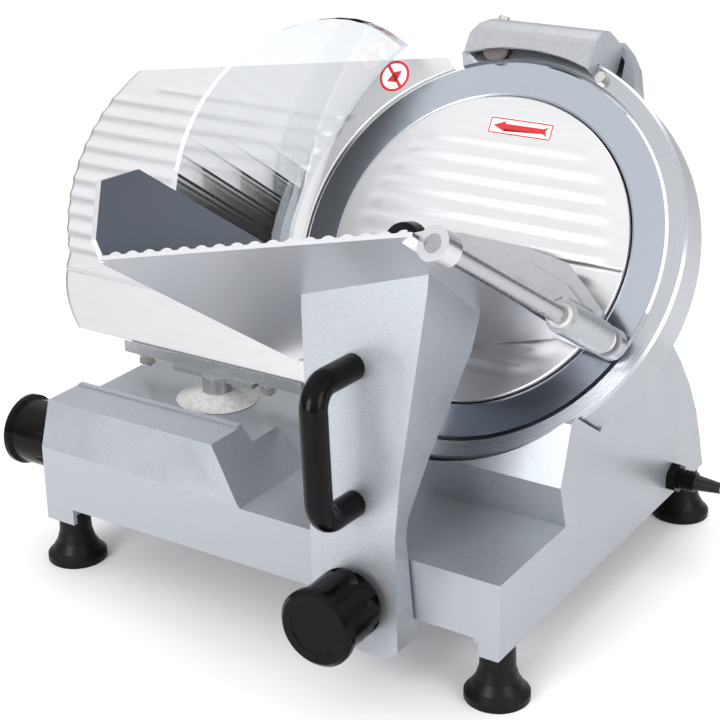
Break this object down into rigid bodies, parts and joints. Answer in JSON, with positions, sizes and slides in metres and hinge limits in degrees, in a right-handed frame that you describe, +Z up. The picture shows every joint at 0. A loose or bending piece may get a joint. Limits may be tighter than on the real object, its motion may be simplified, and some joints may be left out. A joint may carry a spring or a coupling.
{
  "type": "deli meat slicer",
  "caption": "Bench meat slicer: a tilted round blade in a guard ring, a sliding food carriage with pusher, a ribbed thickness gauge plate, and a lead with a plug.",
  "frame": {"origin": "middle of the four feet, on the surface that the slicer stands on", "axes": "+X along the carriage travel, away from the thickness knob; +Y from the carriage side to the slice side; +Z up"},
  "size_m": [0.7692, 0.5777, 0.4421],
  "materials": {
    "body_paint": "fine textured silver-grey paint",
    "ring_metal": "turned cast aluminium",
    "plate_metal": "bright anodised, ribbed",
    "tray_metal": "polished cast aluminium",
    "blade_steel": "mirror ground and hardened",
    "bare_steel": "turned",
    "cast_grey": "shot-blasted casting",
    "black_plastic": "glossy",
    "foot_rubber": "satin black",
    "cord_black": "matte",
    "clear": "clear acrylic",
    "galvanised": "galvanised sheet",
    "zinc": "zinc plated",
    "white_nylon": "moulded",
    "motor_paint": "dark enamel",
    "winding": "varnished laminations",
    "belt_rubber": "ribbed",
    "green_button": "glossy",
    "red_button": "glossy",
    "abrasive": "bonded grit",
    "bronze": "sintered bronze"
  },
  "bodies": {
    "root": {"base_body": "body_paint", "bottom_plate": "galvanised", "rubber_feet": "foot_rubber", "foot_studs": "zinc", "blade_guard_ring": "ring_metal", "drive_belt": "belt_rubber", "bearing_housing": "cast_grey", "spindle_bearings": "bare_steel", "blade_cover": "plate_metal", "cover_tie_rod": "bare_steel", "motor_shell": "motor_paint", "motor_stator": "winding", "motor_mount": "galvanised", "run_capacitor": "white_nylon", "control_box": "black_plastic", "casing_screws": "zinc", "switch_plate": "black_plastic", "carriage_rod": "bare_steel", "rod_brackets": "cast_grey", "guide_bar": "bare_steel", "gauge_rod": "bare_steel", "sharpener_cover": "cast_grey", "sharpener_bracket": "body_paint", "slice_deflector": "bare_steel", "cable_gland": "black_plastic", "strain_relief": "cord_black", "power_cord": "cord_black", "cord_coil": "cord_black", "power_plug": "cord_black"},
    "blade": {"slicing_blade": "blade_steel", "blade_screws": "zinc", "blade_spindle": "bare_steel", "driven_pulley": "cast_grey"},
    "motor_armature": {"motor_rotor": "bare_steel", "motor_pulley": "bare_steel"},
    "cover_nut": {"cover_knob": "black_plastic"},
    "gauge_knob": {"thickness_knob": "black_plastic", "gauge_cam": "bare_steel"},
    "gauge": {"gauge_plate": "plate_metal", "gauge_bracket": "cast_grey", "slot_dish": "white_nylon", "gauge_bolts": "zinc", "gauge_slider": "cast_grey"},
    "carriage": {"carriage_foot": "cast_grey", "carriage_bushes": "bronze", "carriage_arm": "body_paint", "arm_handle": "black_plastic", "food_tray": "tray_metal", "pusher_rod": "bare_steel", "clear_guard": "clear", "guard_screws": "zinc"},
    "pusher_slide": {"pusher_bush": "white_nylon"},
    "pusher": {"pusher_sleeve": "cast_grey", "pusher_plate": "cast_grey", "pusher_knob": "black_plastic"},
    "carriage_lock": {"lock_knob": "black_plastic"},
    "start_key": {"start_button": "green_button"},
    "stop_key": {"stop_button": "red_button"},
    "grinder": {"grinding_stone": "abrasive"},
    "truer": {"truing_stone": "abrasive"}
  },
  "joints": [
    {"name": "blade_spin", "type": "hinge", "parent": "root", "child": "blade", "pos_m": [0.088, -0.006, 0.277], "axis": [0, -0.831, 0.5563], "continuous": true},
    {"name": "motor_spin", "type": "hinge", "parent": "root", "child": "motor_armature", "pos_m": [0.088, 0.07026, 0.12487], "axis": [0, -0.831, 0.5563], "continuous": true},
    {"name": "cover_nut_turn", "type": "hinge", "parent": "root", "child": "cover_nut", "pos_m": [0.088, 0.10203, 0.20468], "axis": [0, -0.831, 0.5563], "range_deg": [0, 720]},
    {"name": "gauge_knob_turn", "type": "hinge", "parent": "root", "child": "gauge_knob", "pos_m": [-0.208, -0.158, 0.101], "axis": [1, 0, 0], "range_deg": [0, 300]},
    {"name": "gauge_travel", "type": "slide", "parent": "root", "child": "gauge", "axis": [0, 1, 0], "range_m": [0, 0.014]},
    {"name": "carriage_travel", "type": "slide", "parent": "root", "child": "carriage", "axis": [1, 0, 0], "range_m": [-0.24, 0.012]},
    {"name": "pusher_travel", "type": "slide", "parent": "carriage", "child": "pusher_slide", "axis": [-0.1407, -0.8325, 0.5359], "range_m": [0, 0.14]},
    {"name": "pusher_swing", "type": "hinge", "parent": "pusher_slide", "child": "pusher", "pos_m": [0.21434, -0.07987, 0.25942], "axis": [-0.1407, -0.8325, 0.5359], "range_deg": [-95, 0]},
    {"name": "carriage_lock_turn", "type": "hinge", "parent": "carriage", "child": "carriage_lock", "pos_m": [0.11, -0.222, 0.078], "axis": [0, 1, 0], "range_deg": [0, 360]},
    {"name": "start_press", "type": "slide", "parent": "root", "child": "start_key", "axis": [1, 0, 0], "range_m": [0, 0.004], "stiffness_N_per_m": 900},
    {"name": "stop_press", "type": "slide", "parent": "root", "child": "stop_key", "axis": [1, 0, 0], "range_m": [0, 0.004], "stiffness_N_per_m": 900},
    {"name": "grinder_press", "type": "slide", "parent": "root", "child": "grinder", "axis": [0, -0.831, 0.5563], "range_m": [0, 0.005], "stiffness_N_per_m": 900},
    {"name": "truer_press", "type": "slide", "parent": "root", "child": "truer", "axis": [0, 0.831, -0.5563], "range_m": [0, 0.0025], "stiffness_N_per_m": 900}
  ],
  "couplings": [
    {"joint": "motor_spin", "follows": "blade_spin", "ratio": 4},
    {"joint": "gauge_knob_turn", "follows": "gauge_travel", "rad_per_m": 373.97}
  ]
}
